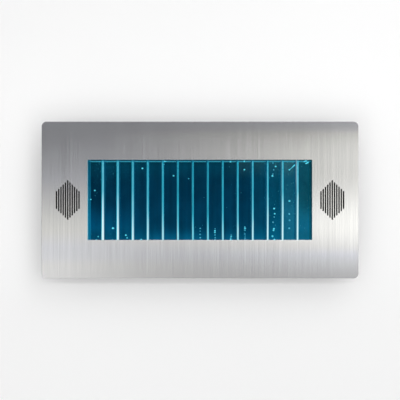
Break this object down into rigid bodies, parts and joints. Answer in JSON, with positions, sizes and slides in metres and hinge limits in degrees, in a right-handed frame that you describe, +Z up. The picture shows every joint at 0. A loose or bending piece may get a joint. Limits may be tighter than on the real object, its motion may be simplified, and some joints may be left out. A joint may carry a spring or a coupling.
{
  "type": "bubble wall panel",
  "caption": "Wall-hung bubble panel: lit water channels in a window of a brushed steel face plate, slotted loudspeaker grilles beside it, shallow box behind.",
  "frame": {"origin": "middle of the face plate's outline, on the flat rear of the box, which is the wall plane", "axes": "+X to the right as seen from the room, +Y into the wall, +Z up"},
  "size_m": [0.8, 0.07, 0.396],
  "materials": {
    "brushed_steel": "upright brushed grain, satin",
    "box_paint": "fine textured powder coat",
    "clear_acrylic": "polished clear sheet",
    "divider_acrylic": "polished clear sheet that glows at its edges",
    "blue_acrylic": "polished dark blue sheet",
    "foam": "closed-cell foam strip",
    "grille_cloth": "open acoustic cloth",
    "black_plastic": "moulded satin",
    "white_plastic": "moulded satin",
    "grey_rubber": "moulded matte",
    "aluminium": "anodised satin",
    "led_board": "white board with pale cyan light sources",
    "circuit_board": "solder-masked board",
    "copper_winding": "enamelled wire",
    "motor_steel": "dull plated",
    "cone_paper": "pressed paper",
    "clear_tube": "clear soft tube",
    "wire": "smooth sleeve"
  },
  "bodies": {
    "housing": {"back_box": "box_paint", "front_frame": "box_paint", "cable_bush": "black_plastic", "tank_gasket": "foam", "tank_front_pane": "clear_acrylic", "tank_rear_pane": "blue_acrylic", "tank_left_end": "clear_acrylic", "tank_right_end": "clear_acrylic", "tank_base": "clear_acrylic", "air_manifold": "clear_acrylic", "tank_lid": "clear_acrylic", "divider_01": "divider_acrylic", "divider_02": "divider_acrylic", "divider_03": "divider_acrylic", "divider_04": "divider_acrylic", "divider_05": "divider_acrylic", "divider_06": "divider_acrylic", "divider_07": "divider_acrylic", "divider_08": "divider_acrylic", "divider_09": "divider_acrylic", "divider_10": "divider_acrylic", "divider_11": "divider_acrylic", "divider_12": "divider_acrylic", "divider_13": "divider_acrylic", "divider_14": "divider_acrylic", "tank_shelf": "box_paint", "led_channel": "aluminium", "led_strip": "led_board", "filler_neck": "clear_acrylic", "drain_spout": "clear_acrylic", "power_supply": "white_plastic", "control_board": "circuit_board", "pump_base": "grey_rubber", "pump_case": "black_plastic", "pump_coil": "copper_winding", "pump_bellows": "grey_rubber", "air_tube_upper": "clear_tube", "check_valve": "white_plastic", "air_tube_lower": "clear_tube", "speaker_basket_left": "black_plastic", "speaker_magnet_left": "motor_steel", "speaker_surround_left": "grey_rubber", "speaker_basket_right": "black_plastic", "speaker_magnet_right": "motor_steel", "speaker_surround_right": "grey_rubber", "speaker_lead_left": "wire", "speaker_lead_right": "wire", "led_lead": "wire", "pump_lead": "wire", "supply_lead": "wire"},
    "cover": {"face_plate": "brushed_steel", "grille_cloth_left": "grille_cloth", "grille_cloth_right": "grille_cloth"},
    "cone_left": {"speaker_cone_left": "cone_paper"},
    "cone_right": {"speaker_cone_right": "cone_paper"},
    "pump_lever": {"pump_armature": "motor_steel"},
    "filler_seal_ring": {"filler_seal": "grey_rubber"},
    "filler_screw_cap": {"filler_cap": "black_plastic"},
    "drain_seal_ring": {"drain_seal": "grey_rubber"},
    "drain_screw_cap": {"drain_cap": "black_plastic"}
  },
  "joints": [
    {"name": "cover_lift", "type": "slide", "parent": "housing", "child": "cover", "axis": [0, 0, 1], "range_m": [0, 0.012]},
    {"name": "cone_left_travel", "type": "slide", "parent": "housing", "child": "cone_left", "axis": [0, -1, 0], "range_m": [-0.0015, 0.0015], "stiffness_N_per_m": 1500},
    {"name": "cone_right_travel", "type": "slide", "parent": "housing", "child": "cone_right", "axis": [0, -1, 0], "range_m": [-0.0015, 0.0015], "stiffness_N_per_m": 1500},
    {"name": "pump_lever_swing", "type": "hinge", "parent": "housing", "child": "pump_lever", "pos_m": [0.221, -0.027, 0.1469], "axis": [0, 1, 0], "range_deg": [-2.5, 2.5], "stiffness_Nm_per_rad": 4},
    {"name": "filler_rise", "type": "slide", "parent": "housing", "child": "filler_seal_ring", "axis": [0, 0, 1], "range_m": [0, 0.0045]},
    {"name": "filler_turn", "type": "hinge", "parent": "filler_seal_ring", "child": "filler_screw_cap", "pos_m": [0.076, -0.032, 0.18], "axis": [0, 0, 1], "range_deg": [0, 540]},
    {"name": "drain_drop", "type": "slide", "parent": "housing", "child": "drain_seal_ring", "axis": [0, 0, -1], "range_m": [0, 0.0045]},
    {"name": "drain_turn", "type": "hinge", "parent": "drain_seal_ring", "child": "drain_screw_cap", "pos_m": [-0.266, -0.0155, -0.18], "axis": [0, 0, -1], "range_deg": [0, 540]}
  ],
  "couplings": [
    {"joint": "filler_rise", "follows": "filler_turn", "m_per_rad": 0.000477},
    {"joint": "drain_drop", "follows": "drain_turn", "m_per_rad": 0.000477}
  ]
}
